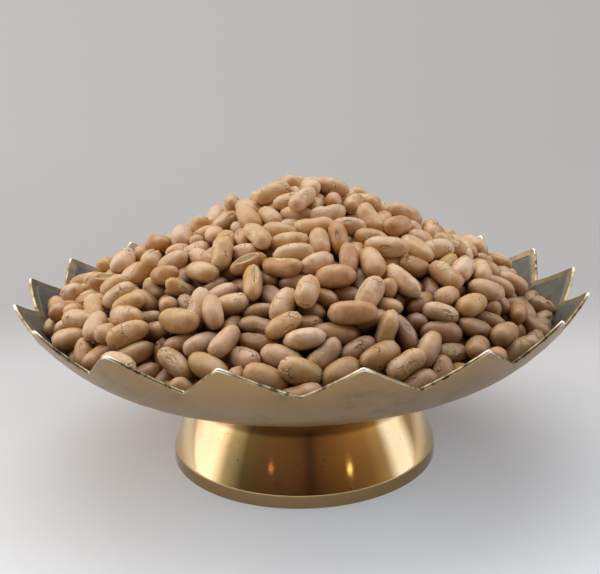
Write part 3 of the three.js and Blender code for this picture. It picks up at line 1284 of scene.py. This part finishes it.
def makeBeanSkin(look):
    material, shader, place = newMaterial("beanSkin")
    tree = material.node_tree
    seed = attribute(tree, "seed")
    skin = attribute(tree, "skin", "Vector")
    own = vectorCalc("ADD", {0: skin, 1: combine(seed * 53.0, seed, seed * 31.0)})
    second, third, fourth = [calc("FRACT", seed * spread) for spread in (7.31, 23.7, 41.3)]
    grain = noise(own, 9.0, 5.0, 0.7)
    fine = noise(own, 24.0, 3.0, 0.7)
    # each bean has its own tone, and each skin is bleached or browned in places
    colour = layered(
        blendColour(remap(seed, 0.3, 0.8), look["tan"], look["pink"]),
        (remap(second, 0.58, 1.0, 0.0, 0.85), look["orange"]),
        (remap(third, 0.6, 1.0, 0.0, 0.5), look["bleached"]),
        (remap(noise(own, 1.5, 2.0), 0.42, 0.75, 0.0, 0.55), look["bleached"]),
        (remap(noise(own, 2.2), 0.5, 0.75, 0.0, 0.6), look["orange"]))
    colour = scaled(colour, remap(grain, 0.3, 0.7, 0.90, 1.08))
    colour = blendColour(remap(fine, 0.68, 0.76, 0.0, 0.3), colour, look["rawDark"])
    # a few short cracks, each with a pale lifted edge
    bent = vectorCalc("MULTIPLY_ADD", {0: noise(own, 3.0, output="Color"), 1: (0.5, 0.5, 0.5), 2: own})
    cells = wire(tree, "ShaderNodeTexVoronoi", {"Vector": bent, "Scale": 1.5}, "Distance",
                 feature="DISTANCE_TO_EDGE")
    cracked = remap(noise(own, 1.6, 1.0), 0.55, 0.62) * calc("GREATER_THAN", fourth, 0.6)
    marks = {"crack": nearTo(cells, 0.0, 0.035) * cracked, "lifted": nearTo(cells, 0.075, 0.05) * cracked}
    # the eye: a thin dark outline round a paler middle, with wrinkles beside it
    along, across, front = split(attribute(tree, "eye", "Vector"))
    aside = calc("ABSOLUTE", across)
    eye = along * along + ((noise(own, 5.0, 4.0, 0.7) - 0.5) * 1.5 + aside)
    slit = attribute(tree, "slit") * front
    broken = remap(grain, 0.36, 0.56, 0.25, 1.0)
    wrinkles = remap(calc("SINE", eye * 7.0), 0.35, 0.9) * slit * remap(along, 0.1, 0.9)
    marks["outline"] = nearTo(eye, 0.95, 0.42) * slit * broken
    marks["middle"] = remap(eye, 0.45, 0.75, 1.0, 0.0) * slit
    marks["crease"] = nearTo(aside, 0.0, 0.22) * marks["middle"]
    marks["ripple"] = wrinkles * remap(eye, 1.4, 1.9) * remap(eye, 2.6, 4.2, 1.0, 0.0)
    # a split shows the rough inside, with a pale torn edge
    cleft = attribute(tree, "split") * front
    torn = (fine - 0.5) * 0.9 + eye
    marks["within"] = remap(torn, 0.75, 1.0, 1.0, 0.0) * cleft
    marks["hem"] = nearTo(torn, 1.15, 0.36) * cleft
    marks["tornEdge"] = marks["hem"] * broken
    raw = blendColour(remap(fine, 0.38, 0.62), look["rawDark"], look["rawPale"])
    raw = blendColour(nearTo(across, 0.1, 0.16), raw, look["lineDark"])
    # scabs are pale, chalky and speckled
    marks["flake"] = smooth(grain * 0.9 + attribute(tree, "scab"), 0.86, 1.02)
    chalk = blendColour(remap(fine, 0.40, 0.50), look["rawDark"], look["rawPale"])
    # painted shade on beans lying below the heap's outside
    marks["paintedDepthShade"] = paintedShadeInHeap(place, look)
    tints = {
        "lifted": look["rawPale"], "crack": look["lineDark"], "middle": look["bleached"],
        "outline": look["lineDark"], "crease": look["rawDark"], "ripple": look["rawDark"],
        "within": raw, "tornEdge": look["rawPale"], "flake": chalk, "paintedDepthShade": look["paintedDepthShade"]}
    colour = layered(colour, *[(marks[name] * look["tints"][name], tint) for name, tint in tints.items()])
    dull = calc("MAXIMUM", marks["within"], marks["flake"])
    height = grain * 0.35 + fine * 0.08 + dull * fine * 1.2
    for name, rise in look["rises"].items():
        height = marks[name] * rise + height
    setInputs(shader, {
        "Base Color": colour,
        "Roughness": dull * 0.3 + remap(grain, 0.3, 0.7, *look["roughness"]),
        "Specular IOR Level": look["specular"],
        "Specular Tint": look["highlight"],
        "Normal": bump(height, *look["bump"])})
    return material


def makeBeanTree():
    # the settled points each take one shape of their kind
    tree, given, made = newGeometryTree("scatterBeans", {
        "Points": "Object", "Shapes": "Collection", "Skin": "Material"})
    shapes = wire(tree, "GeometryNodeCollectionInfo", {
        "Collection": given["Shapes"], "Separate Children": True, "Reset Children": True})
    laid = wire(tree, "GeometryNodeInstanceOnPoints", {
        "Points": shapeOf(given["Points"]), "Instance": shapes, "Pick Instance": True,
        "Instance Index": stored(tree, "shape", "INT"), "Rotation": stored(tree, "turn", "QUATERNION"),
        "Scale": stored(tree, "size", "FLOAT_VECTOR")})
    real = wire(tree, "GeometryNodeRealizeInstances", {"Geometry": laid})
    plug(clad(real, given["Skin"]), made)
    return tree


def makeBeans(plan, kinds):
    rng = np.random.default_rng(plan["seed"])
    centres, turns, sizes = settleBeans(settlePlan)
    quaternions = np.array([Matrix(turn.tolist()).to_quaternion()[:] for turn in turns])
    # the marked side of a bean faces out of the heap more often than into it
    outward = heapNormal(centres[:, 0], centres[:, 1])
    outTurn = np.arctan2((turns[:, :, 2] * outward).sum(1), (turns[:, :, 1] * outward).sum(1))
    spins = outTurn + rng.normal(0, plan["markSpread"], len(centres))
    seeds = rng.random(len(centres))
    tree = makeBeanTree()
    skin = makeBeanSkin(skinLook)
    lot = rng.random(len(centres))
    share = 0.0
    for kindName, kind in kinds.items():
        chosen = np.flatnonzero((lot >= share) & (lot < share + kind["share"]))
        share += kind["share"]
        shapes = bpy.data.collections.new(kindName + "Shapes")
        for number in range(kind["shapes"]):
            mesh = beanShape(f"{kindName}Shape{number}", kind, rng)
            mesh.shade_smooth()
            shapes.objects.link(bpy.data.objects.new(mesh.name, mesh))
        mesh = meshFrom(kindName + "Points", centres[chosen])
        # each bean is rolled about its own length, so that any of its sides may show
        cosine, sine = np.cos(spins[chosen] / 2), np.sin(spins[chosen] / 2)
        w, x, y, z = quaternions[chosen].T
        turned = [w * cosine - x * sine, w * sine + x * cosine, y * cosine + z * sine, z * cosine - y * sine]
        storeValues(mesh, "QUATERNION", turn=np.stack(turned, -1))
        scale = sizes[chosen][:, [0, 1, 1]] / (plan["length"], plan["width"], plan["width"])
        storeValues(mesh, "FLOAT_VECTOR", size=scale)
        storeValues(mesh, "FLOAT", seed=seeds[chosen])
        storeValues(mesh, "INT", shape=rng.integers(0, kind["shapes"], len(chosen)))
        points = newObject(kindName + "Points", mesh)
        beans = grow(kindName + "Beans", tree, {"Points": points, "Shapes": shapes, "Skin": skin})
        bpy.data.objects.remove(points)
        for shape in list(shapes.objects):
            bpy.data.objects.remove(shape)
        bpy.data.collections.remove(shapes)
        finishPiece(beans, "roasted_bean")


makeBeans(beanPlan, beanKinds)
print("beans made")

# the guides for the bowl's rim and section aren't pieces
for guide in (rimObject, sectionObject):
    bpy.data.objects.remove(guide)
